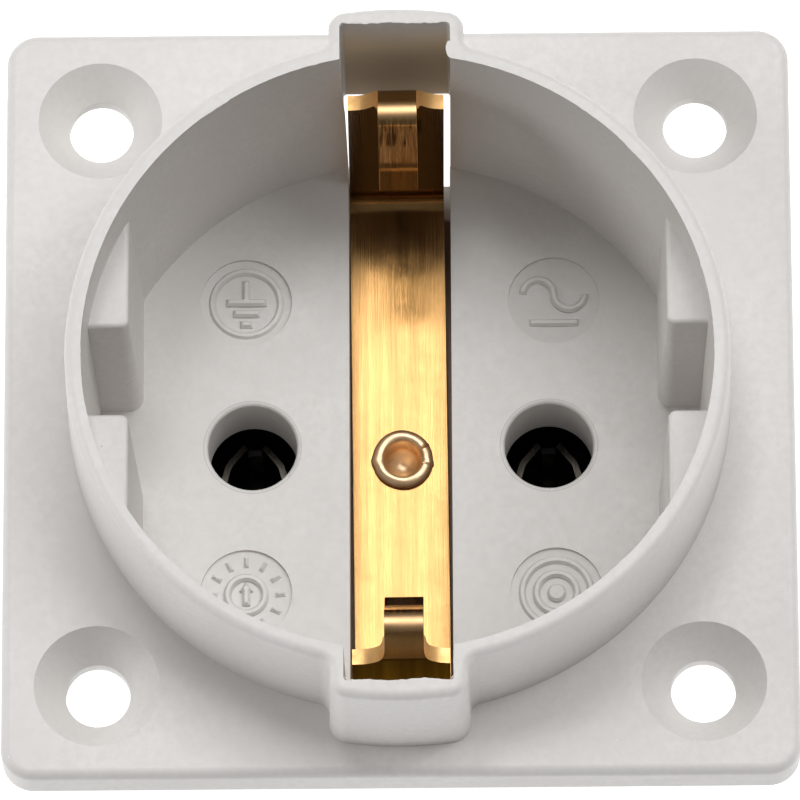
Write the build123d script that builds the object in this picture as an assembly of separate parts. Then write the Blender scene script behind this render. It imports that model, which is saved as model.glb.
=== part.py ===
from build123d import *
import os
from math import hypot

# Panel mount mains socket with side earth contacts.
# +Z points out of the panel towards the plug, +Y is up on the panel, +X is right.
# The origin is the centre of the flange's rear face, which lies on the panel.

# Flange
flange_size = 50.0
flange_thick = 3.0
flange_corner = 2.0
flange_front_round = 0.6
flange_back_round = 0.3
hole_pitch = 38.0
hole_radius = 2.05
sink_radius = 3.95
sink_depth = 2.1

# Collar, well and body
rim_z = 12.1
floor_z = -6.05
floor_back_z = -11.4
collar_radius = 20.78
collar_draft = 1.07
rim_round = 0.55
well_rim_radius = 19.78
well_floor_radius = 19.35
body_radius = 20.95

# Raised fillers at the left and right of the well
filler_top_z = 8.5
filler_chord = 16.91
filler_draft = 1.6
filler_top_round = 0.3
notch_width = 5.8
notch_corner = 0.5

# Pockets for the earth clips, and the channel that joins them
bump_radius = 22.97
bump_width = 8.52
bump_corner = 1.1
bump_blend = 0.9
pocket_width = 6.84
pocket_reach_top = 21.94
pocket_reach_bottom = 21.8
pocket_draft = 0.4
pocket_corner = 0.3
pocket_bulge = 0.15
pocket_bulge_start = 19.2
channel_end = 19.3

# Earth strip
strip_width = 6.1
strip_thick = 1.0
strip_top_z = -8.9
leg_inner = 18.02
leg_bend = 1.5
shoulder_z = 6.95
lean_z = 8.0
lean_bend = 1.0
leg_lean_top = 0.15
tongue_width = 2.45
tongue_root = 1.65
tongue_crest = (16.79, 9.3)
tongue_bend = 0.6
tongue_kink = (15.18, 5.25)
tongue_kink_bend = 2.0
tongue_tip = (14.05, 3.77)
strip_turn = 0.48
strip_shift = -0.055
tongue_shift_top = 0.225
tongue_shift_bottom = 0.21

# Earth rivet
rivet_x = 0.1
rivet_ring_radius = 1.95
rivet_ring_height = 0.62
rivet_mouth_radius = 1.28
rivet_shank_radius = 1.45
rivet_hollow_radius = 1.05
rivet_hollow_depth = 1.9
rivet_head_radius = 2.3
rivet_head_height = 0.7

# Pin holes, with the chamber behind each
pin_spacing = 19.0
pin_hole_radius = 2.85
pin_round = 0.26
pin_bore_length = 4.45
chamber_radius = 4.3

# Round dished recesses in the floor, with raised marks
disc_place = 9.9
disc_radius = 2.95
disc_step = 0.2
disc_dish = 0.24
mark_top = 0.06
mark_draft = 0.22
mark_line = 0.5

# Contact base behind the floor
base_radius = 19.7
cover_radius = 19.2
base_flat = 15.8
base_back_z = -22.0
base_ceiling_z = -13.4
cavity_x = 7.4
cavity_front = 4.6
cavity_back = -4.4
cavity_floor_z = -20.2
link_thick = 0.6

# Line terminals and the earth terminal
terminal_x = 9.3
terminal_y = -10.4
earth_terminal_y = -11.0
cage_width = 6.0
cage_length = 6.6
cage_top_z = -14.0
cage_bottom_z = -21.0
cage_roof = 1.0
cage_foot = 1.8
cage_wall = 0.9
chamber_gap = 0.3
screw_radius = 1.6
screw_head_radius = 2.2
screw_head_height = 0.9
clamp_thick = 0.6
wire_hole_radius = 1.8
driver_hole_radius = 2.0

# Leaf contacts under the pin holes
leaf_thick = 0.4
leaf_side = 2.05
leaf_open_y = -3.3
leaf_waist = (2.02, -0.4)
leaf_knee = (1.7, 0.8)
leaf_nose = (0.6, 2.1)
leaf_waist_bend = 2.0
leaf_knee_bend = 1.2
leaf_web = 0.4
leaf_top_z = -11.9
leaf_bottom_z = -19.4
spring_thick = 0.4
spring_nose = (0.3, 2.455)
spring_nose_bend = 0.6
spring_top_z = -15.2
spring_bottom_z = -18.4
tab_width = 3.4

# Rear cover and its screws
cover_thick = 3.0
cover_screw_x = 15.6
cover_screw_radius = 1.4
cover_screw_pilot = 3.8
cover_hole_radius = 1.6
cover_head_radius = 2.7
cover_head_height = 1.7
cover_sink_radius = 3.0
cover_sink_depth = 1.9
slot_width = 0.7
slot_depth = 0.7

strip_bottom_z = strip_top_z - strip_thick
cage_window_top = cage_top_z - cage_roof
cage_window_bottom = cage_bottom_z + cage_foot
cover_back_z = base_back_z - cover_thick


def between(shape_sketch, low, high):
    """Solid of a flat outline between two heights."""
    return extrude(Pos(0, 0, low) * shape_sketch, high - low)


def box(x0, x1, y0, y1, z0, z1):
    """Solid block between two corners."""
    middle = Pos((x0 + x1) / 2, (y0 + y1) / 2, (z0 + z1) / 2)
    return middle * Box(x1 - x0, y1 - y0, z1 - z0)


def rod(x, y, radius, z0, z1):
    """Upright cylinder between two heights."""
    return Pos(x, y, (z0 + z1) / 2) * Cylinder(radius, z1 - z0)


def taper_rod(x, y, low_radius, high_radius, z0, z1):
    """Upright cone frustum between two heights."""
    return Pos(x, y, (z0 + z1) / 2) * Cone(low_radius, high_radius, z1 - z0)


def shifted(points, side):
    """Corner points of a path moved sideways by a distance, with mitred corners."""
    moved = []
    for i, (a, b) in enumerate(points):
        normals = []
        for j in (i - 1, i):
            if 0 <= j < len(points) - 1:
                da = points[j + 1][0] - points[j][0]
                db = points[j + 1][1] - points[j][1]
                run = hypot(da, db)
                normals.append((-db / run, da / run))
        na = sum(n[0] for n in normals)
        nb = sum(n[1] for n in normals)
        size = hypot(na, nb)
        na, nb = na / size, nb / size
        reach = side / (na * normals[0][0] + nb * normals[0][1])
        moved.append((a + na * reach, b + nb * reach))
    return moved


def ribbon(points, bends, thick):
    """Flat outline of a bent sheet that follows a path of points at its mid thickness."""
    sides = []
    for side in (thick / 2, -thick / 2):
        radii = []
        for i, bend in enumerate(bends):
            (a0, b0), (a1, b1), (a2, b2) = points[i:i + 3]
            turn = (a1 - a0) * (b2 - b1) - (b1 - b0) * (a2 - a1)
            radii.append(bend - side if turn > 0 else bend + side)
        sides.append((shifted(points, side), radii))
    (left, left_radii), (right, right_radii) = sides
    outline = Wire(
        FilletPolyline(*left, radius=left_radii).edges()
        + FilletPolyline(*right, radius=right_radii).edges()
        + Line(left[0], right[0]).edges()
        + Line(left[-1], right[-1]).edges()
    )
    return make_face(outline)


def flange():
    """Square plate that lies on the panel."""
    plate = between(RectangleRounded(flange_size, flange_size, flange_corner), 0, flange_thick)
    plate = fillet(plate.faces().sort_by(Axis.Z)[-1].edges(), flange_front_round)
    return fillet(plate.faces().sort_by(Axis.Z)[0].edges(), flange_back_round)


def collar_outline():
    """Outer outline of the rim: a circle with a squared bump at the top and bottom."""
    bump = Rectangle(bump_width, 2 * bump_radius + 2) & Circle(bump_radius)
    bump = fillet(bump.vertices(), bump_corner)
    outline = Circle(collar_radius) + bump
    hollow = [v for v in outline.vertices() if abs(hypot(v.X, v.Y) - collar_radius) < 0.05]
    return fillet(hollow, bump_blend)


def collar():
    """Raised collar with a rounded outer rim, down to the panel face."""
    wall = extrude(Pos(0, 0, rim_z) * collar_outline(), -rim_z, taper=-collar_draft)
    return fillet(wall.faces().sort_by(Axis.Z)[-1].edges(), rim_round)


def fillers():
    """Four raised segments that narrow the well at its left and right."""
    wide = well_rim_radius + 2
    low, high = notch_width / 2, wide
    outline = Pos((filler_chord + wide) / 2, (low + high) / 2) * Rectangle(wide - filler_chord, high - low)
    outline = fillet(outline.vertices().group_by(Axis.X)[0].sort_by(Axis.Y)[0], notch_corner)
    block = extrude(Pos(0, 0, filler_top_z) * outline, floor_z - filler_top_z - 0.5, taper=-filler_draft)
    block = fillet(block.faces().sort_by(Axis.Z)[-1].edges(), filler_top_round)
    right = block + mirror(block, Plane.XZ)
    return right + mirror(right, Plane.YZ)


def well():
    """Space inside the collar, without the fillers."""
    space = taper_rod(0, 0, well_floor_radius, well_rim_radius, floor_z, rim_z)
    return space - fillers()


def earth_pockets():
    """Space for the earth strip: both pockets and the channel across the floor."""
    middle = (pocket_reach_top - pocket_reach_bottom) / 2
    outline = RectangleRounded(pocket_width, pocket_reach_top + pocket_reach_bottom, pocket_corner)
    space = extrude(Pos(0, middle, rim_z) * outline, strip_bottom_z - rim_z, taper=pocket_draft)
    # The upper pocket is cut a little wider at its left
    run = pocket_reach_top - pocket_bulge_start
    wide = RectangleRounded(pocket_width, run, pocket_corner)
    place = Pos(-pocket_bulge, pocket_bulge_start + run / 2, rim_z)
    space += extrude(place * wide, strip_bottom_z - rim_z, taper=pocket_draft)
    half = pocket_width / 2 - 0.2
    for side in (-1, 1):
        ends = sorted((side * channel_end, side * (body_radius + 1)))
        space += box(-half, half, *ends, floor_back_z - 1, strip_bottom_z + 0.5)
    return space


def flare(radius, edge, top_z):
    """Space inside a hole's rounded mouth, open at the top."""
    low_z, wide = top_z - edge, radius + edge
    side = Polyline((radius, low_z), (0, low_z), (0, top_z + 1), (wide, top_z + 1), (wide, top_z))
    middle = (wide - edge * 0.5 ** 0.5, low_z + edge * 0.5 ** 0.5)
    mouth = ThreePointArc((wide, top_z), middle, (radius, low_z))
    return revolve(Plane.XZ * make_face(Wire(side.edges() + mouth.edges())), Axis.Z)


def pin_holes():
    """Two round-edged pin holes with a chamber behind each."""
    space = None
    for x in (-pin_spacing / 2, pin_spacing / 2):
        hole = rod(x, 0, pin_hole_radius, floor_back_z - 1, floor_z + 1)
        hole += Pos(x, 0) * flare(pin_hole_radius, pin_round, floor_z)
        hole += rod(x, 0, chamber_radius, floor_back_z - 1, floor_z - pin_bore_length)
        space = hole if space is None else space + hole
    return space


def flange_holes():
    """Four countersunk fixing holes."""
    space = []
    for place in GridLocations(hole_pitch, hole_pitch, 2, 2):
        hole = rod(0, 0, hole_radius, -1, flange_thick + 1)
        hole += taper_rod(0, 0, hole_radius, sink_radius, flange_thick - sink_depth, flange_thick)
        space.append(place * hole)
    return space


def earth_mark():
    """Earth symbol in a ring: an upright stem over three shortening bars."""
    shape = Circle(2.45) - Circle(2.45 - mark_line)
    shape += Pos(0, 0.85) * Rectangle(mark_line, 1.5)
    for width, y in ((2.6, 0.1), (1.7, -0.65), (0.8, -1.4)):
        shape += Pos(0, y) * Rectangle(width, mark_line)
    return shape


def wave_mark():
    """Alternating supply symbol: one period of a wave over a bar."""
    middle, line = 1.0, mark_line / 2
    ring = Circle(middle + line) - Circle(middle - line)
    crest = Pos(-middle, 0.5) * (ring & Pos(0, 2) * Rectangle(4, 4))
    trough = Pos(middle, 0.5) * (ring & Pos(0, -2) * Rectangle(4, 4))
    return crest + trough + Pos(0, -1.45) * Rectangle(3.2, mark_line)


def date_mark():
    """Mould date wheel: a ring of ticks around an arrow."""
    shape = Circle(1.45) - Circle(1.45 - mark_line)
    for place in PolarLocations(2.2, 12):
        shape += place * Rectangle(0.7, 0.32)
    shape += Pos(0, -0.2) * Rectangle(mark_line, 1.0)
    return shape + Pos(0, 0.45) * Triangle(a=0.9, B=55, C=55)


def target_mark():
    """Mould insert mark: two rings around a dot."""
    shape = Circle(2.45) - Circle(2.45 - mark_line)
    shape += Circle(1.55) - Circle(1.55 - mark_line)
    return shape + Circle(0.6)


def raised(drawing):
    """A mark standing in its dish, with sloping sides above the dish's edge."""
    foot_z, low_z, top_z = floor_z - disc_step - disc_dish - 0.3, floor_z - mark_top - mark_draft, floor_z - mark_top
    solid = between(drawing, foot_z, low_z)
    return solid + extrude(Pos(0, 0, low_z) * drawing, top_z - low_z, taper=34)


def floor_marks():
    """The round dished recesses and the raised marks that stand in them."""
    places = ((-1, 1, earth_mark), (1, 1, wave_mark), (-1, -1, date_mark), (1, -1, target_mark))
    bowl_radius = (disc_radius ** 2 + disc_dish ** 2) / (2 * disc_dish)
    low_z = floor_z - disc_step - disc_dish
    dish = rod(0, 0, disc_radius, low_z - 0.1, floor_z + 1) & Pos(0, 0, low_z + bowl_radius) * Sphere(bowl_radius)
    recesses, marks = [], []
    for side_x, side_y, drawing in places:
        place = Pos(side_x * disc_place, side_y * disc_place)
        recesses.append(place * dish)
        marks.append(place * raised(drawing()))
    return recesses, marks


def housing():
    """Grey moulding: flange, collar, well and floor in one piece."""
    solid = flange() + collar() + rod(0, 0, body_radius, floor_back_z, flange_thick / 2)
    solid -= well()
    solid -= pin_holes()
    solid -= flange_holes()
    recesses, marks = floor_marks()
    solid -= recesses
    solid += marks
    solid -= earth_pockets()
    solid -= rod(rivet_x, 0, rivet_shank_radius, floor_back_z - 1, strip_top_z)
    for x in (-cover_screw_x, cover_screw_x):
        solid -= rod(x, 0, cover_screw_radius, floor_back_z - 1, floor_back_z + cover_screw_pilot)
    return solid


def strip_path(side):
    """Mid-thickness path of the strip's half towards +Y or -Y, as (y, z) points."""
    mid = leg_inner + strip_thick / 2
    low = strip_top_z - strip_thick / 2
    points = [(0, low), (mid, low), (mid, lean_z), tongue_crest, tongue_kink, tongue_tip]
    return [(side * y, z) for y, z in points]


def strip_sides(lean):
    """Front view of the strip's half, whose leg may lean to the right."""
    half, top = strip_width / 2, tongue_crest[1] + 1
    points = [(-half, strip_bottom_z - 1), (half, strip_bottom_z - 1), (half, strip_top_z),
              (half + lean, top), (lean - half, top), (-half, strip_top_z)]
    front = make_face(Polyline(*points, close=True))
    return extrude(Plane.XZ * front, 2 * bump_radius, both=True)


def strip_half(side, tongue_x, lean):
    """Half of the strip: flat run, leg, shoulders and the narrow tongue bent inwards."""
    points = strip_path(side)
    outline = ribbon(points, (leg_bend, lean_bend, tongue_bend, tongue_kink_bend), strip_thick)
    half = extrude(Plane.YZ * outline, strip_width / 2 + lean, both=True) & strip_sides(lean)
    far = strip_width
    for turn in (-1, 1):
        edge = tongue_x + turn * tongue_width / 2
        gap = Pos(edge + turn * far / 2, shoulder_z + far / 2) * Rectangle(far, far)
        corner = gap.vertices().sort_by(Axis.Y)[:2].sort_by(Axis.X)
        gap = fillet(corner[0 if turn > 0 else -1], tongue_root)
        half -= extrude(Plane.XZ * gap, 2 * bump_radius, both=True)
        sides = sorted((edge, edge + turn * far))
        reach = sorted((side * (tongue_tip[0] - 2), side * (leg_inner - 0.4)))
        half -= box(*sides, *reach, tongue_tip[1] - 2, shoulder_z + tongue_root)
    return half


def earth_strip():
    """Brass strip with a sprung tongue at each end, a little out of true as fitted."""
    strip = strip_half(1, tongue_shift_top, leg_lean_top) + strip_half(-1, tongue_shift_bottom, 0)
    strip = Pos(strip_shift, 0) * Rot(0, 0, strip_turn) * strip
    return strip - rod(rivet_x, 0, rivet_shank_radius, strip_bottom_z - 1, strip_top_z + 1)


def earth_rivet():
    """Tubular rivet rolled over on the strip, with a flat head on the link behind."""
    head_z = base_ceiling_z - link_thick
    hollow_z = strip_top_z + rivet_ring_height - rivet_hollow_depth
    crest = (rivet_ring_radius + rivet_mouth_radius) / 2
    ring = rivet_ring_radius - crest
    crest_z = strip_top_z + rivet_ring_height
    foot = crest + (ring ** 2 - (rivet_ring_height - ring) ** 2) ** 0.5
    outline = Polyline(
        (0, hollow_z - 0.4), (0, head_z - rivet_head_height),
        (rivet_head_radius, head_z - rivet_head_height), (rivet_head_radius, head_z),
        (rivet_shank_radius, head_z), (rivet_shank_radius, strip_top_z), (foot, strip_top_z))
    roll = ThreePointArc((foot, strip_top_z), (crest, crest_z), (rivet_mouth_radius, crest_z - ring))
    inside = Polyline((rivet_mouth_radius, crest_z - ring), (rivet_hollow_radius, crest_z - 3 * ring),
                      (rivet_hollow_radius, hollow_z), (0, hollow_z - 0.4))
    face = make_face(Wire(outline.edges() + roll.edges() + inside.edges()))
    return Pos(rivet_x, 0) * revolve(Plane.XZ * face, Axis.Z)


def leaf_path(nose, open_y):
    """Plan of one blade of a leaf contact, from its nose to its open end."""
    return [nose, leaf_knee, leaf_waist, (leaf_side, open_y)]


def leaf_contact(x):
    """Two brass blades on a web, with a tab that runs back onto the terminal."""
    bends = (leaf_knee_bend, leaf_waist_bend)
    blade = between(ribbon(leaf_path(leaf_nose, leaf_open_y), bends, leaf_thick), leaf_bottom_z, leaf_top_z)
    outer = leaf_side + leaf_thick / 2
    leaf = blade + mirror(blade, Plane.YZ)
    leaf += box(-outer, outer, leaf_open_y, leaf_nose[1], leaf_bottom_z, leaf_bottom_z + leaf_web)
    out = 1 if x > 0 else -1
    wall = sorted((out * outer, out * (outer - leaf_thick)))
    near = sorted((out * outer, out * (outer - tab_width)))
    tab_end = terminal_y - cage_length / 2 + 0.4
    leaf += box(*near, tab_end, leaf_open_y, cage_top_z, cage_top_z + link_thick)
    leaf += box(*wall, leaf_open_y - 0.3, leaf_open_y + 0.3, cage_top_z, leaf_top_z)
    return Pos(x, 0) * leaf


def leaf_spring(x):
    """Steel clip that lies against the outer sides of a leaf contact."""
    gap = (leaf_thick + spring_thick) / 2
    side = leaf_path(spring_nose, leaf_open_y + 0.4)
    path = shifted([(-x, y) for x, y in reversed(side)] + side, gap)
    waist, knee = leaf_waist_bend + gap, leaf_knee_bend + gap
    bends = (waist, knee, spring_nose_bend, spring_nose_bend, knee, waist)
    return Pos(x, 0) * between(ribbon(path, bends, spring_thick), spring_bottom_z, spring_top_z)


def terminal(x, y):
    """Brass cage with a window for the wire and a screw hole in its foot."""
    half, run = cage_width / 2, cage_length / 2
    cage = box(-half, half, -run, run, cage_bottom_z, cage_top_z)
    cage -= box(-half + cage_wall, half - cage_wall, -run - 1, run + 1, cage_window_bottom, cage_window_top)
    cage -= rod(0, 0, screw_radius, cage_bottom_z - 1, cage_window_bottom + 1)
    return Pos(x, y) * cage


def clamp_plate(x, y):
    """Pressure plate that lies on the screw's tip inside the cage."""
    half = cage_width / 2 - cage_wall - 0.1
    low = cage_window_bottom + 0.3
    plate = box(-half, half, -cage_length / 2 - 0.2, cage_length / 2 + 0.2, low, low + clamp_thick)
    return Pos(x, y) * plate


def slotted(head, face_z, radius):
    """A screw head with a driver slot cut in its rear face."""
    return head - box(-radius - 1, radius + 1, -slot_width / 2, slot_width / 2, face_z - 1, face_z + slot_depth)


def terminal_screw(x, y):
    """Slotted screw that closes the cage on the wire."""
    tip_z = cage_window_bottom + 0.3
    face_z = cage_bottom_z - screw_head_height
    screw = rod(0, 0, screw_radius, cage_bottom_z, tip_z)
    screw += rod(0, 0, screw_head_radius, face_z, cage_bottom_z)
    return Pos(x, y) * slotted(screw, face_z, screw_head_radius)


def terminal_places():
    """Centres of the live, neutral and earth terminals."""
    return (("live", -terminal_x, terminal_y), ("neutral", terminal_x, terminal_y),
            ("earth", 0, earth_terminal_y))


def earth_link():
    """Brass bar from the rivet to the earth terminal."""
    half = cage_width / 2 - 0.4
    low = earth_terminal_y - cage_length / 2 + 0.4
    bar = box(-half, half, low, half, base_ceiling_z - link_thick, base_ceiling_z)
    return bar - rod(rivet_x, 0, rivet_shank_radius, base_ceiling_z - 1, base_ceiling_z)


def base_outline(radius):
    """Outline of the base or the cover: a circle with two flats beside the earth legs."""
    return Circle(radius) & Rectangle(2 * radius + 2, 2 * base_flat)


def contact_base():
    """Insulating body with chambers for the contacts and the terminals."""
    solid = between(base_outline(base_radius), base_back_z, floor_back_z)
    for x in (-pin_spacing / 2, pin_spacing / 2):
        half = cavity_x / 2
        solid -= box(x - half, x + half, cavity_back, cavity_front, cavity_floor_z, floor_back_z + 1)
        solid -= box(x - half, x + half, terminal_y, cavity_back + 1, cage_top_z, base_ceiling_z)
    half = cage_width / 2 + chamber_gap
    run = cage_length / 2 + chamber_gap
    for _, x, y in terminal_places():
        solid -= box(x - half, x + half, y - run, y + run, base_back_z - 1, base_ceiling_z)
        wire = Pos(x, y - run - 4, (cage_window_top + cage_window_bottom) / 2) * Rot(90, 0, 0)
        solid -= wire * Cylinder(wire_hole_radius, 10)
    solid -= box(-half, half, earth_terminal_y, half, base_back_z - 1, base_ceiling_z)
    solid -= rod(rivet_x, 0, rivet_shank_radius, base_ceiling_z - 1, floor_back_z + 1)
    for x in (-cover_screw_x, cover_screw_x):
        solid -= rod(x, 0, cover_hole_radius, base_back_z - 1, floor_back_z + 1)
    return solid


def rear_cover():
    """Plate over the terminals with holes for a screwdriver."""
    solid = between(base_outline(cover_radius), cover_back_z, base_back_z)
    for _, x, y in terminal_places():
        solid -= rod(x, y, driver_hole_radius, cover_back_z - 1, base_back_z + 1)
    for x in (-cover_screw_x, cover_screw_x):
        solid -= rod(x, 0, cover_hole_radius, cover_back_z - 1, base_back_z + 1)
        solid -= rod(x, 0, cover_sink_radius, cover_back_z - 1, cover_back_z + cover_sink_depth)
    return chamfer(solid.faces().sort_by(Axis.Z)[0].outer_wire().edges(), 0.5)


def cover_screw(x):
    """Long slotted screw from the cover into the housing."""
    seat_z = cover_back_z + cover_sink_depth
    face_z = seat_z - cover_head_height
    screw = rod(0, 0, cover_screw_radius, seat_z, floor_back_z + cover_screw_pilot - 0.3)
    head = rod(0, 0, cover_head_radius, face_z, seat_z)
    head = fillet(head.faces().sort_by(Axis.Z)[0].edges(), 0.6)
    return Pos(x, 0) * slotted(screw + head, face_z, cover_head_radius)


def pieces():
    """Every piece of the socket by its node name."""
    made = {
        "housing": housing(),
        "contact_base": contact_base(),
        "rear_cover": rear_cover(),
        "earth_strip": earth_strip(),
        "earth_rivet": earth_rivet(),
        "earth_link": earth_link(),
        "cover_screw_left": cover_screw(-cover_screw_x),
        "cover_screw_right": cover_screw(cover_screw_x),
    }
    for name, x in (("live", -pin_spacing / 2), ("neutral", pin_spacing / 2)):
        made[name + "_contact"] = leaf_contact(x)
        made[name + "_spring"] = leaf_spring(x)
    for name, x, y in terminal_places():
        made[name + "_terminal"] = terminal(x, y)
        made[name + "_clamp"] = clamp_plate(x, y)
        made[name + "_screw"] = terminal_screw(x, y)
    return made


os.makedirs("parts", exist_ok=True)
for node, solid in pieces().items():
    export_step(solid, f"parts/{node}.step")
    print(node, len(solid.solids()), round(solid.volume, 2))
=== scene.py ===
"""Panel mount socket: finishes, fine detail and studio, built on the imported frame."""

import math

import bmesh
import bpy
from bpy.props import FloatProperty, FloatVectorProperty, PointerProperty
from mathutils import Matrix, Vector, noise


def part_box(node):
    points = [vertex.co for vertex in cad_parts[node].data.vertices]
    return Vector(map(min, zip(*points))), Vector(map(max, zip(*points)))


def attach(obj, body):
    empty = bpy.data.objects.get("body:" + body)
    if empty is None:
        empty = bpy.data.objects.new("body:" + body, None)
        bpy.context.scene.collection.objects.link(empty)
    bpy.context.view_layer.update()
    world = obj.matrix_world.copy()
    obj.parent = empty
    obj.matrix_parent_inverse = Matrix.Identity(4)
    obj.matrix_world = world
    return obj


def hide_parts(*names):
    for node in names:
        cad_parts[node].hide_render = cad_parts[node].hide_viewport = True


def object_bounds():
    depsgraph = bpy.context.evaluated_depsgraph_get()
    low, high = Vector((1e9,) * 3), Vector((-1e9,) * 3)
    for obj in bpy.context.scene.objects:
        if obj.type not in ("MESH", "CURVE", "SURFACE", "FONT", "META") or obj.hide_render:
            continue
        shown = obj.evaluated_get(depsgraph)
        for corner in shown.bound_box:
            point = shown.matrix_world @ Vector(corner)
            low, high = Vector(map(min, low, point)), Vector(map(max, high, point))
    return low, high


bl_info = {
    "name": "Panel mount socket",
    "version": (1, 0, 0),
    "blender": (4, 5, 0),
    "location": "3D View > Sidebar > Socket",
    "description": "Dresses the packed panel mount socket and sets up its studio",
    "category": "Object",
}

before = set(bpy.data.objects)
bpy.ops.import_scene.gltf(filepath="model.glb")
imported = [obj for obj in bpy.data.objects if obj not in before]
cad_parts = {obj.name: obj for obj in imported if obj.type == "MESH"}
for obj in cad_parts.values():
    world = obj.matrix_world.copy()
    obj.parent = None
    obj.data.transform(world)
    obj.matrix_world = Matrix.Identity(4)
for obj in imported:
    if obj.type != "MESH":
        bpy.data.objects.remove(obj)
CAD_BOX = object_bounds()
MM = 0.001
RIM_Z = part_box("housing")[1][2]
FLOOR_Z = -6.05 * MM
STRIP_TOP_Z = -8.9 * MM
WELL_RADIUS = 19.78 * MM
FLOOR_RADIUS = 19.35 * MM
POCKET_HALF = 3.42 * MM
POCKET_WIDER_HALF = 3.57 * MM
POCKET_ENDS = (21.94 * MM, 21.8 * MM)
POCKET_CORNER = 0.3 * MM
RIVET_X = 0.1 * MM
PIN_X_MM = 9.5
PIN_INSERT_MM = 3.13
# The legs of the earth strip: their outer faces lie beyond LEG_Y, their sheared ends within
# LEG_END_Z and the part of their backs with painted shade within LEG_BACK_Z
LEG_Y = 17.9 * MM
LEG_END_Z = (6.5 * MM, 9.5 * MM)
LEG_BACK_Z = (-8.5 * MM, 7.9 * MM)
# Zones of wear, colour and painted light and shade along the socket's axes, each as (from, to, softness) in
# mm
TONGUE_X = (-1.1, 1.5, 0.05)
TONGUE_SLOPE_Y = (-16.8, 16.8, 0.2)
SCRATCHED_Z = (7.4, 9.0, 0.4)
RUBBED_Z = (5.95, 8.8, 0.3)
TIP_Z = (3.0, 5.15, 0.15)
BEND_Z = (9.5, 12.0, 0.3)
CHANNEL = {"X": (-3.4, 3.4, 0.1), "Y": (-21.0, 16.8, 0.3), "Z": (-12.0, -9.05, 0.1)}
POCKET_WALL = {"X": (-3.2, 3.2, 0.3), "Z": (-8.0, 8.0, 3.6)}
POCKET_END_Y = (20.2, 22.2, 0.1)
FLOOR_FACE_Z = (-6.2, -5.9, 0.05)
# Scraps of flash round the well's floor: first and last angle in degrees, and a seed
FLOOR_SCRAPS = ((148, 154, 1.0), (158, 163, 5.0), (30, 34, 9.0), (206, 210, 13.0))
FLASH_STEP = 0.1 * MM
FLASH_FOOT = 0.02 * MM
MERGE = 0.002 * MM
# Half width in mm that reaches past every piece, for brass that doesn't darken at its edges
EVEN = 50.0
TABLE_HALF = 3.0


def colour(hex_value):
    """Linear colour of an sRGB hex value."""
    parts = [int(hex_value[i:i + 2], 16) / 255 for i in (1, 3, 5)]
    linear = [c / 12.92 if c <= 0.04045 else ((c + 0.055) / 1.055) ** 2.4 for c in parts]
    return (*linear, 1.0)


def colour_setting(name, hex_value, description):
    """A colour that a user would change."""
    return FloatVectorProperty(name=name, description=description, subtype="COLOR", size=4,
                               min=0.0, max=1.0, default=colour(hex_value))


def length_setting(name, millimetres, description):
    """A length that a user would change."""
    return FloatProperty(name=name, description=description, unit="LENGTH",
                         default=millimetres * MM, precision=5)


def place_setting(name, millimetres, description):
    """A place or a pair of lengths that a user would change."""
    return FloatVectorProperty(name=name, description=description, unit="LENGTH", precision=4,
                               size=len(millimetres), default=[c * MM for c in millimetres])


def angle_setting(name, degrees, description):
    """An angle that a user would change."""
    return FloatProperty(name=name, description=description, subtype="ANGLE",
                         default=math.radians(degrees))


class SocketFinish(bpy.types.PropertyGroup):
    """Colours of the moulded, brass and plated parts."""

    housing: colour_setting("Housing", "#D9D6D3", "Light grey of the front moulding")
    base: colour_setting("Base", "#2E2F31", "Dark grey of the rear mouldings")
    brass: colour_setting("Brass", "#99764A", "Rolled faces of the earth strip")
    sheared: colour_setting("Sheared brass", "#FAC987", "Sheared ends and edges of the strip")
    rivet: colour_setting("Rivet brass", "#EBCBA4", "Rolled tube of the rivet")
    contact_brass: colour_setting("Contact brass", "#6E5434", "Terminals and earth bar")
    # Near black by default: painted shade of the deep pin holes that the leaves sit in
    tin: colour_setting("Dulled tin", "#3A3732", "Tinned leaf contacts under the pin holes")
    steel: colour_setting("Plated steel", "#B9BAB8", "Screws and clamp plates")


class SocketDetail(bpy.types.PropertyGroup):
    """Sizes of the fine detail that the frame leaves out."""

    strip_edge: length_setting("Strip edge", 0.12, "Rounding of the strip's sheared edges")
    flash_reach: length_setting("Flash reach", 0.13, "How far moulding flash hangs into the well")
    flash_thick: length_setting("Flash thickness", 0.05, "Thickness of the moulding flash")
    metal_edge: length_setting("Metal edge", 0.05, "Rounding of the stamped and turned metal edges")
    cover_edge: length_setting("Cover edge", 0.15, "Rounding of the rear cover's moulded edges")


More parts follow.
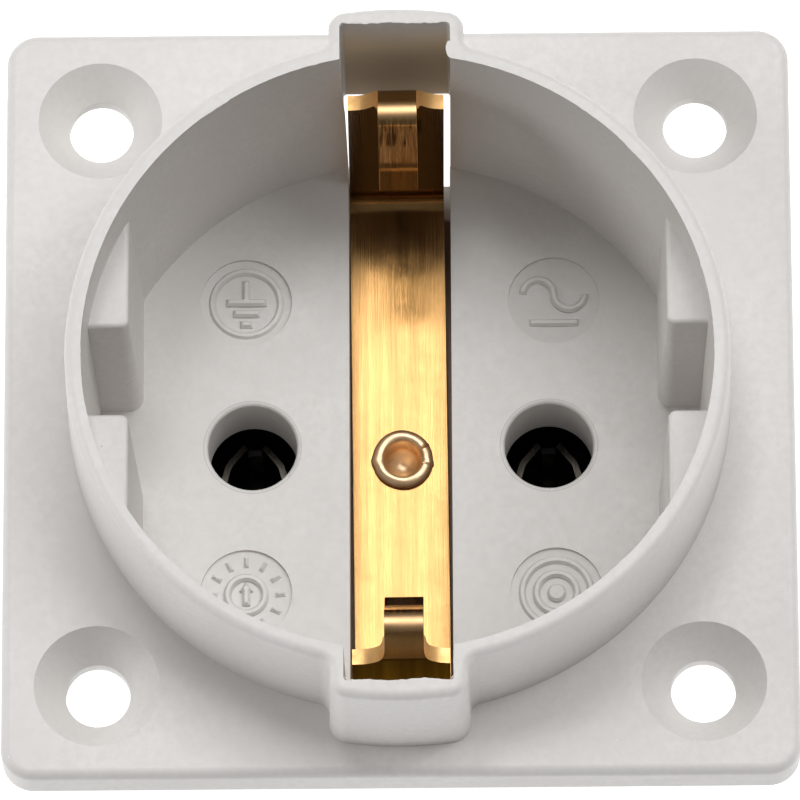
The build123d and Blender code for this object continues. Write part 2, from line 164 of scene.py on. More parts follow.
class SocketStudio(bpy.types.PropertyGroup):
    """Camera and lights."""

    distance: length_setting("Camera distance", 620.0, "From the centre of the flange's front")
    tilt: angle_setting("Camera tilt", 19.92, "Down from the socket's axis, towards its lower side")
    yaw: angle_setting("Camera yaw", 0.61, "Round the socket's upright axis")
    roll: angle_setting("Camera roll", -0.267, "Turn of the picture")
    aside: length_setting("Camera aside", 0.062, "Sideways offset of the camera")
    lift: length_setting("Camera lift", -0.129, "Upward offset of the camera")
    picture_width: FloatProperty(name="Picture width", unit="LENGTH", default=50.574 * MM, precision=5,
                                 description="Width that the picture covers at the camera distance")
    key_watts: FloatProperty(name="Key light", description="Power of the overhead softbox", default=3.45)
    key_place: place_setting("Key place", (187.0, 225.0, 690.0), "Overhead softbox, beyond the socket's top")
    key_size: place_setting("Key size", (1000.0, 300.0), "Width and height of the overhead softbox")
    side_watts: FloatProperty(name="Side light", description="Power of the left softbox", default=1.9)
    side_place: place_setting("Side place", (-680.0, 0.0, 317.0), "Low softbox at the left")
    side_size: place_setting("Side size", (300.0, 300.0), "Width and height of the left softbox")
    lift_watts: FloatProperty(name="Lift lights", description="Power of each small softbox", default=0.65)
    lift_size: place_setting("Lift size", (150.0, 150.0), "Width and height of the small softboxes")
    lift_left: place_setting("Lift left", (-112.0, 225.0, 706.0), "Small softbox left of the overhead one")
    lift_right: place_setting("Lift right", (450.0, 225.0, 556.0), "Small softbox at the right")
    sky: FloatProperty(name="Surround", description="Strength of the dim surround", default=0.21)
    table_glow: FloatProperty(name="Table glow", description="Brightness of the light table", default=0.97)


def add_node(tree, kind, settings=None, inputs=None):
    """Add a shader node; an input is a value, another node (its first output) or an output."""
    node = tree.nodes.new(kind)
    for key, value in (settings or {}).items():
        setattr(node, key, value)
    for key, value in (inputs or {}).items():
        if isinstance(value, bpy.types.Node):
            value = value.outputs[0]
        if isinstance(value, bpy.types.NodeSocket):
            tree.links.new(value, node.inputs[key])
        else:
            node.inputs[key].default_value = value
    return node


def new_material(name):
    """Empty material with one Principled shader on its output."""
    material = bpy.data.materials.new(name)
    material.use_nodes = True
    tree = material.node_tree
    tree.nodes.clear()
    shader = add_node(tree, "ShaderNodeBsdfPrincipled")
    add_node(tree, "ShaderNodeOutputMaterial", None, {"Surface": shader})
    return material, tree, shader


def object_place(tree, stretch=(1.0, 1.0, 1.0)):
    """Object coordinates, stretched where a pattern follows one direction."""
    place = add_node(tree, "ShaderNodeTexCoord").outputs["Object"]
    return add_node(tree, "ShaderNodeMapping", None, {"Vector": place, "Scale": stretch})


def per_mm(size_mm):
    """Texture scale whose features are about this many millimetres apart."""
    return 1.0 / (size_mm * MM)


def shade(tint, factor):
    """A colour made darker or lighter."""
    return (*(min(1.0, c * factor) for c in tint[:3]), 1.0)


def specks(tree, place, spacing_mm, size_mm, share):
    """Mask of small round specks: some cells of a pattern hold one each."""
    cells = add_node(tree, "ShaderNodeTexVoronoi", None, {"Vector": place, "Scale": per_mm(spacing_mm)})
    reach = size_mm / spacing_mm
    dot = add_node(tree, "ShaderNodeMapRange", None, {
        "Value": cells.outputs["Distance"], "From Min": reach * 0.5, "From Max": reach,
        "To Min": 1.0, "To Max": 0.0})
    pick = add_node(tree, "ShaderNodeSeparateColor", None, {"Color": cells.outputs["Color"]})
    chosen = add_node(tree, "ShaderNodeMath", {"operation": "LESS_THAN"}, {0: pick, 1: share})
    return add_node(tree, "ShaderNodeMath", {"operation": "MULTIPLY"}, {0: dot, 1: chosen})


def mottled(tree, pattern, first, second, low=0.3, high=0.7):
    """Two tints spread over a surface by a pattern's dark and light areas."""
    amount = add_node(tree, "ShaderNodeMapRange", None, {
        "Value": pattern, "From Min": low, "From Max": high})
    mix = add_node(tree, "ShaderNodeMix", {"data_type": "RGBA"}, {0: amount, 6: first, 7: second})
    return mix.outputs[2]


def uneven_gloss(tree, shader, pattern, smooth, dull):
    """Roughness that wanders between two values with a pattern."""
    rough = add_node(tree, "ShaderNodeMapRange", None, {
        "Value": pattern, "From Min": 0.3, "From Max": 0.7, "To Min": smooth, "To Max": dull})
    tree.links.new(rough.outputs["Result"], shader.inputs["Roughness"])
    return rough


def within(tree, value, low_mm, high_mm, soft_mm):
    """Mask that is 1 where a coordinate lies between two places, with soft ends."""
    rise = add_node(tree, "ShaderNodeMapRange", None, {
        "Value": value, "From Min": (low_mm - soft_mm) * MM, "From Max": low_mm * MM})
    fall = add_node(tree, "ShaderNodeMapRange", None, {
        "Value": value, "From Min": high_mm * MM, "From Max": (high_mm + soft_mm) * MM,
        "To Min": 1.0, "To Max": 0.0})
    return add_node(tree, "ShaderNodeMath", {"operation": "MULTIPLY"}, {0: rise, 1: fall})


def zone(tree, axes, ranges):
    """Mask of a box-shaped zone; each axis has its (from, to, softness) in mm."""
    mask = 1.0
    for axis, limits in ranges.items():
        mask = add_node(tree, "ShaderNodeMath", {"operation": "MULTIPLY"}, {
            0: mask, 1: within(tree, axes.outputs[axis], *limits)})
    return mask


def moulded_polyamide(tint):
    """Glass-filled polyamide from a spark-eroded mould: fine satin grain, a little mottled."""
    material, tree, shader = new_material("moulded_grey_polyamide")
    place = object_place(tree)
    # Slow drift of tint from the melt's flow through the mould
    flow = add_node(tree, "ShaderNodeTexNoise", None, {
        "Vector": place, "Scale": per_mm(7.0), "Detail": 2.0, "Roughness": 0.5})
    # Clouding of the glass filler just under the skin
    mottle = add_node(tree, "ShaderNodeTexNoise", None, {
        "Vector": place, "Scale": per_mm(0.45), "Detail": 3.0, "Roughness": 0.6})
    body = mottled(tree, flow, shade(tint, 0.97), shade(tint, 1.03))
    body = mottled(tree, mottle, body, shade(tint, 0.96), 0.35, 0.68)
    # Pale ends of filler at the surface, and dust and burnt specks
    pale = specks(tree, place, spacing_mm=1.9, size_mm=0.08, share=0.14)
    burnt = specks(tree, place, spacing_mm=3.1, size_mm=0.1, share=0.2)
    body = mottled(tree, pale, body, shade(tint, 1.2), 0.0, 1.0)
    body = mottled(tree, burnt, body, colour("#7A7166"), 0.0, 1.3)
    # Brown in the channel under the strip, short of its upper end
    axes = add_node(tree, "ShaderNodeSeparateXYZ", None, {"Vector": place})
    body = mottled(tree, zone(tree, axes, CHANNEL), body, colour("#8A6C50"), 0.0, 1.0)
    # Warm light that the brass legs bounce onto the pockets' end walls, painted as a pale cream colour
    across = add_node(tree, "ShaderNodeMath", {"operation": "ABSOLUTE"}, {0: axes.outputs["Y"]})
    painted_brass_bounce = add_node(tree, "ShaderNodeMath", {"operation": "MULTIPLY"}, {
        0: zone(tree, axes, POCKET_WALL), 1: within(tree, across, *POCKET_END_Y)})
    body = mottled(tree, painted_brass_bounce, body, colour("#F2DDBB"), 0.0, 1.0)
    # Witness line of the mould's core pins round each pin hole
    apart = add_node(tree, "ShaderNodeMath", {"operation": "ABSOLUTE"}, {0: axes.outputs["X"]})
    apart = add_node(tree, "ShaderNodeMath", {"operation": "SUBTRACT"}, {0: apart, 1: PIN_X_MM * MM})
    around = add_node(tree, "ShaderNodeCombineXYZ", None, {"X": apart, "Y": axes.outputs["Y"]})
    away = add_node(tree, "ShaderNodeVectorMath", {"operation": "LENGTH"}, {0: around})
    witness = within(tree, away.outputs["Value"], PIN_INSERT_MM - 0.01, PIN_INSERT_MM + 0.01, 0.04)
    witness = add_node(tree, "ShaderNodeMath", {"operation": "MULTIPLY"}, {
        0: witness, 1: within(tree, axes.outputs["Z"], *FLOOR_FACE_Z)})
    body = mottled(tree, witness, body, shade(tint, 0.72), 0.0, 1.0)
    tree.links.new(body, shader.inputs["Base Color"])
    uneven_gloss(tree, shader, mottle, smooth=0.40, dull=0.54)
    # Spark-erosion grain of the mould, with a slow sink of the surface below it
    erosion = add_node(tree, "ShaderNodeTexNoise", None, {
        "Vector": place, "Scale": per_mm(0.16), "Detail": 2.0, "Roughness": 0.6})
    sink = add_node(tree, "ShaderNodeBump", None, {"Height": flow, "Distance": 0.04 * MM, "Strength": 0.2})
    skin = add_node(tree, "ShaderNodeBump", None, {
        "Height": erosion, "Distance": 0.008 * MM, "Strength": 0.3, "Normal": sink})
    tree.links.new(skin.outputs["Normal"], shader.inputs["Normal"])
    shader.inputs["IOR"].default_value = 1.53
    return material


def moulded_phenolic(tint):
    """Compression-moulded phenolic: dark, dense, with a dull mould skin."""
    material, tree, shader = new_material("moulded_dark_phenolic")
    place = object_place(tree)
    # Cloudy colour of the moulding powder
    cloud = add_node(tree, "ShaderNodeTexNoise", None, {
        "Vector": place, "Scale": per_mm(3.0), "Detail": 3.0, "Roughness": 0.5})
    # Wood flour that shows as a fine fibrous grain
    fibre = add_node(tree, "ShaderNodeTexNoise", None, {
        "Vector": place, "Scale": per_mm(0.5), "Detail": 4.0, "Roughness": 0.7})
    body = mottled(tree, cloud, shade(tint, 0.8), shade(tint, 1.25))
    flour = specks(tree, place, spacing_mm=1.4, size_mm=0.14, share=0.25)
    body = mottled(tree, flour, body, shade(tint, 2.2), 0.0, 1.0)
    tree.links.new(body, shader.inputs["Base Color"])
    uneven_gloss(tree, shader, fibre, smooth=0.38, dull=0.56)
    skin = add_node(tree, "ShaderNodeBump", None, {"Height": fibre, "Distance": 0.02 * MM, "Strength": 0.3})
    tree.links.new(skin.outputs["Normal"], shader.inputs["Normal"])
    shader.inputs["IOR"].default_value = 1.6
    return material


def plug_wear_and_painted_light(tree, place, body, rough, tint):
    """Rub marks that plugs leave on the two tongues, below the coarse skin of their bends, with painted
    highlight on the rubbed faces and bends and painted dark tips.
    """
    axes = add_node(tree, "ShaderNodeSeparateXYZ", None, {"Vector": place})
    slope = {"X": TONGUE_X, "Y": TONGUE_SLOPE_Y}
    # Upright scratches where the plug's earth clip slides
    scratches = add_node(tree, "ShaderNodeTexNoise", None, {
        "Vector": object_place(tree, (1.0, 0.06, 0.06)), "Scale": per_mm(0.2),
        "Detail": 2.0, "Roughness": 0.6})
    face = zone(tree, axes, {**slope, "Z": SCRATCHED_Z})
    dark = add_node(tree, "ShaderNodeMapRange", None, {
        "Value": scratches, "From Min": 0.49, "From Max": 0.38})
    bright = add_node(tree, "ShaderNodeMapRange", None, {
        "Value": scratches, "From Min": 0.52, "From Max": 0.66})
    dark = add_node(tree, "ShaderNodeMath", {"operation": "MULTIPLY"}, {0: face, 1: dark})
    bright = add_node(tree, "ShaderNodeMath", {"operation": "MULTIPLY"}, {0: face, 1: bright})
    # The whole rubbed face is brighter than the rest: partly rubbed-clean brass, partly a painted highlight
    rubbed_and_highlight = zone(tree, axes, {**slope, "Z": RUBBED_Z})
    body = mottled(tree, rubbed_and_highlight, body, shade(tint, 2.3), 0.0, 1.0)
    body = mottled(tree, dark, body, shade(tint, 0.55), 0.0, 1.0)
    body = mottled(tree, bright, body, shade(tint, 2.9), 0.0, 1.0)
    # Tips of the tongues painted dark: a painted dark reflection of the dim surround
    tip = zone(tree, axes, {"X": TONGUE_X, "Z": TIP_Z})
    body = mottled(tree, tip, body, shade(tint, 0.26), 0.0, 1.0)
    # Orange-peel skin where the sheet was stretched over the bends: it is rougher, and its pale colour is
    # partly rubbed-clean brass and partly a painted highlight
    crest = within(tree, axes.outputs["Z"], *BEND_Z)
    body = mottled(tree, crest, body, colour("#E3B98A"), 0.0, 1.0)
    peel = add_node(tree, "ShaderNodeMath", {"operation": "MULTIPLY"}, {0: crest, 1: 0.26})
    rough = add_node(tree, "ShaderNodeMath", {"operation": "ADD"}, {0: rough, 1: peel})
    return body, rough


def drawn_brass(name, tint, stretch, smooth, dull, undarkened_half_mm, waviness=0.0, tongue_marks=False):
    """Rolled brass: bright where it is rubbed, with drawing lines, tarnish and small stains; on the tongues
    it can also carry painted highlight and painted dark tips.

    It darkens beyond undarkened_half_mm on either side of the socket's middle.
    """
    material, tree, shader = new_material(name)
    lines = object_place(tree, stretch)
    place = object_place(tree)
    # Hair-fine drawing lines left by the rolls
    fine = add_node(tree, "ShaderNodeTexNoise", None, {
        "Vector": lines, "Scale": per_mm(0.09), "Detail": 3.0, "Roughness": 0.7})
    # Broader bands of the same rolling
    broad = add_node(tree, "ShaderNodeTexNoise", None, {
        "Vector": lines, "Scale": per_mm(0.6), "Detail": 2.0, "Roughness": 0.5})
    # Brown tarnish that starts in patches
    tarnish = add_node(tree, "ShaderNodeTexNoise", None, {
        "Vector": place, "Scale": per_mm(2.2), "Detail": 3.0, "Roughness": 0.6})
    body = mottled(tree, fine, shade(tint, 0.92), shade(tint, 1.08))
    body = mottled(tree, broad, body, shade(tint, 0.86), 0.45, 0.8)
    body = mottled(tree, tarnish, body, shade(tint, 0.72), 0.5, 1.0)
    # Darker towards the edges, beyond the given half width from the socket's middle
    across = add_node(tree, "ShaderNodeSeparateXYZ", None, {"Vector": place})
    away = add_node(tree, "ShaderNodeMath", {"operation": "ABSOLUTE"}, {0: across})
    wander = add_node(tree, "ShaderNodeMath", {"operation": "MULTIPLY_ADD"}, {
        0: tarnish, 1: 0.9 * MM, 2: away})
    body = mottled(tree, wander, body, shade(tint, 0.7), undarkened_half_mm * MM, (undarkened_half_mm + 0.75) * MM)
    # Stains and pits
    stains = specks(tree, place, spacing_mm=2.6, size_mm=0.16, share=0.16)
    body = mottled(tree, stains, body, shade(tint, 0.4), 0.0, 1.3)
    rough = uneven_gloss(tree, shader, broad, smooth, dull)
    if tongue_marks:
        body, rough = plug_wear_and_painted_light(tree, place, body, rough, tint)
        tree.links.new(rough.outputs[0], shader.inputs["Roughness"])
    tree.links.new(body, shader.inputs["Base Color"])
    # Slow waviness of the hand-bent sheet, then the rolling
    wave = add_node(tree, "ShaderNodeTexNoise", None, {
        "Vector": place, "Scale": per_mm(3.5), "Detail": 1.0, "Roughness": 0.4})
    bent = add_node(tree, "ShaderNodeBump", None, {
        "Height": wave, "Distance": 0.12 * MM, "Strength": waviness})
    rolled = add_node(tree, "ShaderNodeBump", None, {
        "Height": broad, "Distance": 0.02 * MM, "Strength": 0.3, "Normal": bent})
    hairs = add_node(tree, "ShaderNodeBump", None, {
        "Height": fine, "Distance": 0.012 * MM, "Strength": 0.5, "Normal": rolled})
    tree.links.new(hairs.outputs["Normal"], shader.inputs["Normal"])
    shader.inputs["Metallic"].default_value = 1.0
    return material


def zinc_plated_steel(name, tint, smooth, dull):
    """Zinc plated or blued steel, finished in a barrel: satin, with small tumbling marks."""
    material, tree, shader = new_material(name)
    place = object_place(tree)
    # Uneven thickness of the plating
    cloud = add_node(tree, "ShaderNodeTexNoise", None, {
        "Vector": place, "Scale": per_mm(1.2), "Detail": 3.0, "Roughness": 0.5})
    # Knocks from the plating barrel
    marks = add_node(tree, "ShaderNodeTexNoise", None, {
        "Vector": place, "Scale": per_mm(0.12), "Detail": 2.0, "Roughness": 0.6})
    body = mottled(tree, cloud, shade(tint, 0.85), shade(tint, 1.1))
    tree.links.new(body, shader.inputs["Base Color"])
    uneven_gloss(tree, shader, marks, smooth, dull)
    knocks = add_node(tree, "ShaderNodeBump", None, {
        "Height": marks, "Distance": 0.006 * MM, "Strength": 0.4})
    tree.links.new(knocks.outputs["Normal"], shader.inputs["Normal"])
    shader.inputs["Metallic"].default_value = 1.0
    return material


def lit_acrylic(glow):
    """Opal acrylic of a light table: white, evenly lit from below."""
    material, tree, shader = new_material("lit_opal_acrylic")
    cast = add_node(tree, "ShaderNodeTexNoise", None, {
        "Vector": object_place(tree), "Scale": per_mm(60.0), "Detail": 1.0})
    body = mottled(tree, cast, colour("#A6A6A6"), colour("#ADADAD"))
    tree.links.new(body, shader.inputs["Base Color"])
    shader.inputs["Roughness"].default_value = 0.6
    shader.inputs["Emission Color"].default_value = colour("#FFFFFF")
    shader.inputs["Emission Strength"].default_value = glow
    return material


def dress(material, *nodes):
    """Give CAD nodes a finished material."""
    for node in nodes:
        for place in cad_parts[node].material_slots:
            place.material = material


def merged_copy(node):
    """A mesh of the node's shape with its doubles merged and its flat faces joined."""
    bm = bmesh.new()
    bm.from_mesh(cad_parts[node].data)
    bmesh.ops.remove_doubles(bm, verts=bm.verts, dist=MERGE)
    bmesh.ops.dissolve_limit(bm, angle_limit=math.radians(0.6), verts=bm.verts, edges=bm.edges)
    return bm


def make_piece(bm, name, material, smooth_angle=None):
    """Turn a bmesh into a piece that rides on the socket."""
    mesh = bpy.data.meshes.new(name)
    bm.to_mesh(mesh)
    bm.free()
    mesh.materials.append(material)
    if smooth_angle is not None:
        mesh.shade_smooth()
        mesh.set_sharp_from_angle(angle=math.radians(smooth_angle))
    piece = bpy.data.objects.new(name, mesh)
    bpy.context.scene.collection.objects.link(piece)
    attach(piece, "root")
    return piece


def round_edges(piece, width, segments=3):
    """Round a piece's sharp edges."""
    bevel = piece.modifiers.new("edges", "BEVEL")
    bevel.width = width
    bevel.segments = segments
    bevel.limit_method = "ANGLE"
    bevel.angle_limit = math.radians(30.0)
    bevel.harden_normals = False


def rounded_copy(node, material, width):
    """Put a copy of a CAD node with rounded edges in its place."""
    piece = make_piece(merged_copy(node), node + "_finished", material, smooth_angle=35.0)
    round_edges(piece, width, segments=2)
    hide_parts(node)


def along(points, step):
    """Points spaced evenly along a path, each with the direction to the path's left."""
    spaced = []
    for start, end in zip(points, points[1:]):
        run = end - start
        count = max(1, round(run.length / step))
        left = Vector((-run.y, run.x, 0)).normalized()
        spaced += [(start + run * i / count, left) for i in range(count)]
    return spaced


def arc(radius, first, last, height):
    """Points on a level arc about the socket's axis, every 3 degrees or so."""
    count = max(2, round(abs(last - first) / 3.0))
    angles = [math.radians(first + (last - first) * i / count) for i in range(count + 1)]
    return [Vector((radius * math.cos(a), radius * math.sin(a), height)) for a in angles]


def mouth_path():
    """Inner edge of the rim, round the well and both pockets, with the opening on its left."""
    gap = math.degrees(math.asin(POCKET_HALF / WELL_RADIUS))
    wider_gap = math.degrees(math.asin(POCKET_WIDER_HALF / WELL_RADIUS))
    cut = POCKET_CORNER
    top, bottom = POCKET_ENDS
    path = arc(WELL_RADIUS, gap - 90, 90 - gap, RIM_Z)
    for x, y in ((POCKET_HALF, top - cut), (POCKET_HALF - cut, top),
                 (cut - POCKET_WIDER_HALF, top), (-POCKET_WIDER_HALF, top - cut)):
        path.append(Vector((x, y, RIM_Z)))
    path += arc(WELL_RADIUS, 90 + wider_gap, 270 - gap, RIM_Z)
    for x, y in ((-POCKET_HALF, cut - bottom), (cut - POCKET_HALF, -bottom),
                 (POCKET_HALF - cut, -bottom), (POCKET_HALF, cut - bottom)):
        path.append(Vector((x, y, RIM_Z)))
    return path + path[:1]


def add_fin(bm, path, reach, thick, seed, share, swell=0.0):
    """Thin ragged fin of flash along a path; share says how much of the path carries any.

    A slow noise says where it stands out and a quick one makes it ragged. Swell adds a lobe.
    """
    rows = []
    spaced = along(path, FLASH_STEP)
    for i, (base, left) in enumerate(spaced):
        slow = noise.noise(Vector((i * 0.031, seed, 0.0)))
        quick = noise.noise(Vector((i * 0.27, seed, 7.0)))
        length = reach * max(0.03, (slow + share - 0.5) * 2.2 + quick * 0.55 * (slow > 0.5 - share))
        length += swell * math.sqrt(max(0.0, math.sin(math.pi * i / (len(spaced) - 1))))
        foot = base - left * FLASH_FOOT
        tip = base + left * length + Vector((0, 0, -0.4 * thick + 0.3 * thick * quick))
        rows.append([bm.verts.new(c) for c in (foot, tip, foot - Vector((0, 0, thick)))])
    for one, two in zip(rows, rows[1:]):
        for i in range(3):
            bm.faces.new((one[i], one[(i + 1) % 3], two[(i + 1) % 3], two[i]))
    bm.faces.new(reversed(rows[0]))
    bm.faces.new(rows[-1])


class DressHousing(bpy.types.Operator):
    """Finish the grey front moulding and give it its ragged flash"""

    bl_idname = "socket.dress_housing"
    bl_label = "Housing"

    def execute(self, context):
        grey = moulded_polyamide(context.scene.socket_finish.housing)
        dress(grey, "housing")
        detail = context.scene.socket_detail
        bm = bmesh.new()
        reach, thick = detail.flash_reach, detail.flash_thick
        add_fin(bm, mouth_path(), 0.5 * reach, thick, seed=3.0, share=0.45)
        # More of it at the outer ends of the pockets, with a lobe at the upper right
        half, (top, bottom) = POCKET_HALF, POCKET_ENDS
        for x0, y0, x1, y1, seed, swell in (
                (half - POCKET_CORNER, top, -half, top, 21.0, 0.0),
                (half, 19.5 * MM, half, 20.75 * MM, 25.0, 0.2 * MM),
                (-half, -bottom, half, -bottom, 33.0, 0.0)):
            path = [Vector((x0, y0, RIM_Z)), Vector((x1, y1, RIM_Z))]
            add_fin(bm, path, reach, thick, seed, share=0.62, swell=swell)
        # Scraps of flash left where the well's wall meets its floor
        for first, last, seed in FLOOR_SCRAPS:
            path = arc(FLOOR_RADIUS, first, last, FLOOR_Z + thick)
            add_fin(bm, path, 2.0 * reach, thick, seed, share=0.5)
        bmesh.ops.recalc_face_normals(bm, faces=bm.faces)
        make_piece(bm, "moulding_flash", grey)
        return {"FINISHED"}


class DressBase(bpy.types.Operator):
    """Finish the contact base and the rear cover"""

    bl_idname = "socket.dress_base"
    bl_label = "Base and cover"

    def execute(self, context):
        phenolic = moulded_phenolic(context.scene.socket_finish.base)
        dress(phenolic, "contact_base")
        rounded_copy("rear_cover", phenolic, context.scene.socket_detail.cover_edge)
        return {"FINISHED"}


class MakeEarthStrip(bpy.types.Operator):
    """Round the strip's edges and give it drawn and sheared brass, with painted shade on the backs of its
    legs
    """

    bl_idname = "socket.make_earth_strip"
    bl_label = "Earth strip"

    def execute(self, context):
        finish = context.scene.socket_finish
        drawn = (1.0, 0.02, 0.02)
        brass = drawn_brass("drawn_satin_brass", finish.brass, drawn, smooth=0.15, dull=0.23,
                            undarkened_half_mm=2.6, waviness=0.35, tongue_marks=True)
        sheared = drawn_brass("sheared_brass", finish.sheared, (1.0, 1.0, 0.1),
                              smooth=0.42, dull=0.58, undarkened_half_mm=EVEN)
        # The backs of the legs: brass at 0.3 of its tint with a dimmed specular tint, painted shade and a
        # painted dim reflection
        leg_back_shade = drawn_brass("leg_back_shaded_brass", shade(finish.brass, 0.3), drawn,
                                smooth=0.4, dull=0.55, undarkened_half_mm=EVEN)
        shader = leg_back_shade.node_tree.nodes["Principled BSDF"]
        shader.inputs["Specular Tint"].default_value = colour("#C4B49B")
        bm = merged_copy("earth_strip")
        bm.normal_update()
        for face in bm.faces:
            place = face.calc_center_median()
            outer = abs(place.y) > LEG_Y
            end = outer and face.normal.z > 0.9 and LEG_END_Z[0] < place.z < LEG_END_Z[1]
            outward = outer and face.normal.y * place.y > 0
            behind = outward and LEG_BACK_Z[0] < place.z < LEG_BACK_Z[1] and not end
            # Slots as in the strip's mesh: 0 drawn, 1 sheared edges, 2 backs of the legs with painted shade
            face.material_index = 1 if end or abs(face.normal.x) > 0.03 else 2 * behind
        strip = make_piece(bm, "earth_strip_sheet", brass, smooth_angle=30.0)
        strip.data.materials.append(sheared)
        strip.data.materials.append(leg_back_shade)
        round_edges(strip, context.scene.socket_detail.strip_edge)
        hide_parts("earth_strip")
        return {"FINISHED"}


# Half section of the rivet from its hollow's floor to its rear head, as (radius, height) in mm
# above the strip
RIVET_SECTION = (
    (0.0, -1.44), (0.2, -1.42), (0.45, -1.28), (0.75, -1.06), (0.95, -0.86), (1.04, -0.66),
    (1.07, -0.4), (1.12, -0.05), (1.16, 0.2), (1.2, 0.38), (1.25, 0.5), (1.32, 0.58),
    (1.41, 0.612), (1.51, 0.62), (1.61, 0.605), (1.7, 0.565), (1.79, 0.5), (1.87, 0.41),
    (1.92, 0.31), (1.95, 0.21), (1.94, 0.12), (1.9, 0.05), (1.84, 0.0),
    (1.45, 0.0), (1.45, -5.1), (2.2, -5.1), (2.3, -5.2), (2.3, -5.6), (2.15, -5.76), (1.8, -5.8),
    (0.0, -5.8))
# Flaws of the rolled ring: angle and half width in degrees, outward push and lift in mm
RIVET_FLAWS = (
    (183, 9, 0.1, -0.03), (95, 50, 0.05, 0.0), (28.5, 1.1, 0.03, -0.3), (31.5, 2.2, 0.04, 0.04),
    (-7.5, 4.5, 0.07, -0.02), (-13.5, 2, -0.01, -0.05), (110, 30, 0.03, 0.02),
    (250, 25, -0.03, 0.0))
# In mm: the flaws grow from none at this radius, over FLAW_FADE outwards and FLAW_RISE upwards
FLAW_FROM_RADIUS, FLAW_FADE, FLAW_RISE = 1.2, 0.25, 0.1


def rivet_flaw(angle, radius, height):
    """How far a point of the ring is pushed outwards and lifted, in mm."""
    weight = max(0.0, min(1.0, (radius - FLAW_FROM_RADIUS) / FLAW_FADE))
    weight *= max(0.0, min(1.0, height / FLAW_RISE))
    push = 0.01 * noise.noise(Vector((math.cos(angle) * 2.5, math.sin(angle) * 2.5, 1.0)))
    lift = 0.02 * noise.noise(Vector((math.cos(angle) * 2.0, math.sin(angle) * 2.0, 4.0)))
    for middle, half, out, up in RIVET_FLAWS:
        away = (math.degrees(angle) - middle + 180) % 360 - 180
        share = math.exp(-(away / half) ** 2)
        push += out * share
        # A crack or a burr only a few degrees wide lifts the outer side of the ring alone
        lift += up * share * (radius > 1.4 if half < 3 else 1)
    return push * weight, lift * weight


class MakeRivet(bpy.types.Operator):
    """Roll the earth rivet's ring with its crack and burrs"""

    bl_idname = "socket.make_rivet"
    bl_label = "Earth rivet"

    def execute(self, context):
        finish = context.scene.socket_finish
        bm = bmesh.new()
        section = [bm.verts.new((RIVET_X + r * MM, 0, STRIP_TOP_Z + z * MM)) for r, z in RIVET_SECTION]
        edges = [bm.edges.new(pair) for pair in zip(section, section[1:])]
        bmesh.ops.spin(bm, geom=section + edges, cent=(RIVET_X, 0, 0), axis=(0, 0, 1),
                       angle=math.tau, steps=240, use_merge=True)
        bmesh.ops.remove_doubles(bm, verts=bm.verts, dist=MERGE)
        for vert in bm.verts:
            x, y = vert.co.x - RIVET_X, vert.co.y
            radius, height = math.hypot(x, y) / MM, (vert.co.z - STRIP_TOP_Z) / MM
            if height > 0.01 and radius > 0.1:
                push, lift = rivet_flaw(math.atan2(y, x), radius, height)
                vert.co.x += x * push / radius
                vert.co.y += y * push / radius
                vert.co.z += lift * MM
        bmesh.ops.recalc_face_normals(bm, faces=bm.faces)
        brass = drawn_brass("rolled_bright_brass", finish.rivet, (1.0, 1.0, 1.0),
                            smooth=0.36, dull=0.48, undarkened_half_mm=5.0)
        rivet = make_piece(bm, "rolled_rivet", brass, smooth_angle=50.0)
        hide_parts("earth_rivet")
        return {"FINISHED"}


class DressContacts(bpy.types.Operator):
    """Finish the leaf contacts, their springs and the terminals"""

    bl_idname = "socket.dress_contacts"
    bl_label = "Contacts and terminals"

    def execute(self, context):
        finish = context.scene.socket_finish
        edge = context.scene.socket_detail.metal_edge
        # The leaves' tin is painted near black, as shade of the deep pin holes
        tin = drawn_brass("tinned_brass_painted_dark", finish.tin, (1.0, 0.05, 0.05),
                          smooth=0.2, dull=0.3, undarkened_half_mm=EVEN)
        # The leaves' edges are rounder than those of the stamped pieces
        for node in ("live_contact", "neutral_contact"):
            rounded_copy(node, tin, 3.0 * edge)
        brass = drawn_brass("stamped_contact_brass", finish.contact_brass, (1.0, 1.0, 0.05),
                            smooth=0.3, dull=0.42, undarkened_half_mm=EVEN)
        dress(brass, "earth_link")
        for node in ("live_terminal", "neutral_terminal", "earth_terminal"):
            rounded_copy(node, brass, edge)
        steel = zinc_plated_steel("blued_spring_steel", shade(finish.steel, 0.6), smooth=0.3, dull=0.45)
        dress(steel, "live_spring", "neutral_spring")
        return {"FINISHED"}


class DressFixings(bpy.types.Operator):
    """Finish the screws and the clamp plates"""

    bl_idname = "socket.dress_fixings"
    bl_label = "Screws and clamps"

    def execute(self, context):
        finish = context.scene.socket_finish
        steel = zinc_plated_steel("zinc_plated_steel", finish.steel, smooth=0.26, dull=0.4)
        for node in ("live_screw", "neutral_screw", "earth_screw", "live_clamp", "neutral_clamp",
                     "earth_clamp", "cover_screw_left", "cover_screw_right"):
            rounded_copy(node, steel, context.scene.socket_detail.metal_edge)
        return {"FINISHED"}


def softbox(name, watts, size, place):
    """A rectangular area light aimed at the socket."""
    light = bpy.data.lights.new(name, "AREA")
    light.shape = "RECTANGLE"
    light.size, light.size_y = size
    light.energy = watts
    lamp = bpy.data.objects.new(name, light)
    lamp.location = place
    lamp.rotation_euler = (-Vector(place)).to_track_quat("-Z", "Y").to_euler()
    bpy.context.scene.collection.objects.link(lamp)


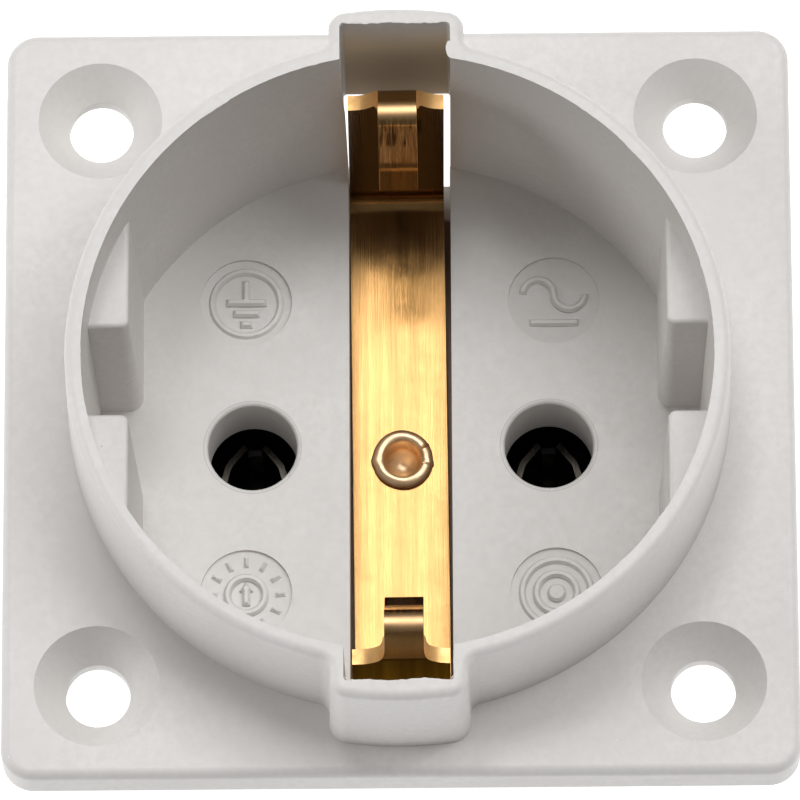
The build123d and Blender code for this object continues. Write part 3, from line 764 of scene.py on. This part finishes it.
def photo_camera(studio):
    """Long-lens camera at the photograph's viewing angle."""
    turn = Matrix.Rotation(studio.yaw, 3, "Y")
    toward = turn @ Vector((0, -math.sin(studio.tilt), math.cos(studio.tilt)))
    up = turn @ Vector((0, math.cos(studio.tilt), math.sin(studio.tilt)))
    right = up.cross(toward)
    level = Matrix((right, up, toward)).transposed()
    rolled = level @ Matrix.Rotation(studio.roll, 3, "Z")
    aim = Vector((0, 0, 3.0 * MM)) + right * studio.aside + up * studio.lift
    camera = bpy.data.cameras.new("photo_camera")
    camera.sensor_width = 36.0
    camera.lens = camera.sensor_width * studio.distance / studio.picture_width
    camera.clip_start = 0.01
    camera.clip_end = 20.0
    obj = bpy.data.objects.new("photo_camera", camera)
    obj.matrix_world = Matrix.Translation(aim + toward * studio.distance) @ rolled.to_4x4()
    bpy.context.scene.collection.objects.link(obj)
    bpy.context.scene.camera = obj


class SetStudio(bpy.types.Operator):
    """Lay the light table and set the camera, the softboxes and the surround"""

    bl_idname = "socket.set_studio"
    bl_label = "Studio"

    def execute(self, context):
        studio = context.scene.socket_studio
        bm = bmesh.new()
        bmesh.ops.create_grid(bm, x_segments=1, y_segments=1, size=TABLE_HALF)
        bmesh.ops.translate(bm, verts=bm.verts, vec=(0, 0, CAD_BOX[0][2] - 0.02 * MM))
        mesh = bpy.data.meshes.new("light_table")
        bm.to_mesh(mesh)
        bm.free()
        mesh.materials.append(lit_acrylic(studio.table_glow))
        floor = bpy.data.objects.new("light_table", mesh)
        context.scene.collection.objects.link(floor)
        softbox("key_softbox", studio.key_watts, studio.key_size, studio.key_place)
        softbox("side_softbox", studio.side_watts, studio.side_size, studio.side_place)
        softbox("lift_left_softbox", studio.lift_watts, studio.lift_size, studio.lift_left)
        softbox("lift_right_softbox", studio.lift_watts, studio.lift_size, studio.lift_right)
        world = bpy.data.worlds.new("white_surround")
        world.use_nodes = True
        backdrop = world.node_tree.nodes["Background"]
        backdrop.inputs["Color"].default_value = colour("#FFFFFF")
        backdrop.inputs["Strength"].default_value = studio.sky
        context.scene.world = world
        context.scene.view_settings.view_transform = "Standard"
        photo_camera(studio)
        return {"FINISHED"}


STEPS = (DressHousing, DressBase, MakeEarthStrip, MakeRivet, DressContacts, DressFixings, SetStudio)


class SocketPanel(bpy.types.Panel):
    """Buttons for each group of pieces and for the studio"""

    bl_idname = "VIEW3D_PT_socket"
    bl_label = "Panel mount socket"
    bl_space_type = "VIEW_3D"
    bl_region_type = "UI"
    bl_category = "Socket"

    def draw(self, context):
        for step in STEPS:
            self.layout.operator(step.bl_idname)
        for setting, _ in SETTINGS:
            group = getattr(context.scene, setting)
            for name in group.bl_rna.properties.keys():
                if name not in ("rna_type", "name"):
                    self.layout.prop(group, name)


SETTINGS = (("socket_finish", SocketFinish), ("socket_detail", SocketDetail),
            ("socket_studio", SocketStudio))


def register():
    """Make the settings, the operators and the panel known to Blender."""
    for name, group in SETTINGS:
        bpy.utils.register_class(group)
        setattr(bpy.types.Scene, name, PointerProperty(type=group))
    for item in (*STEPS, SocketPanel):
        bpy.utils.register_class(item)


def unregister():
    """Take them out again."""
    for item in reversed((*STEPS, SocketPanel)):
        bpy.utils.unregister_class(item)
    for name, group in reversed(SETTINGS):
        delattr(bpy.types.Scene, name)
        bpy.utils.unregister_class(group)


def main():
    """Run every step."""
    register()
    for step in STEPS:
        group, name = step.bl_idname.split(".")
        getattr(getattr(bpy.ops, group), name)()


if __name__ == "__main__":
    main()
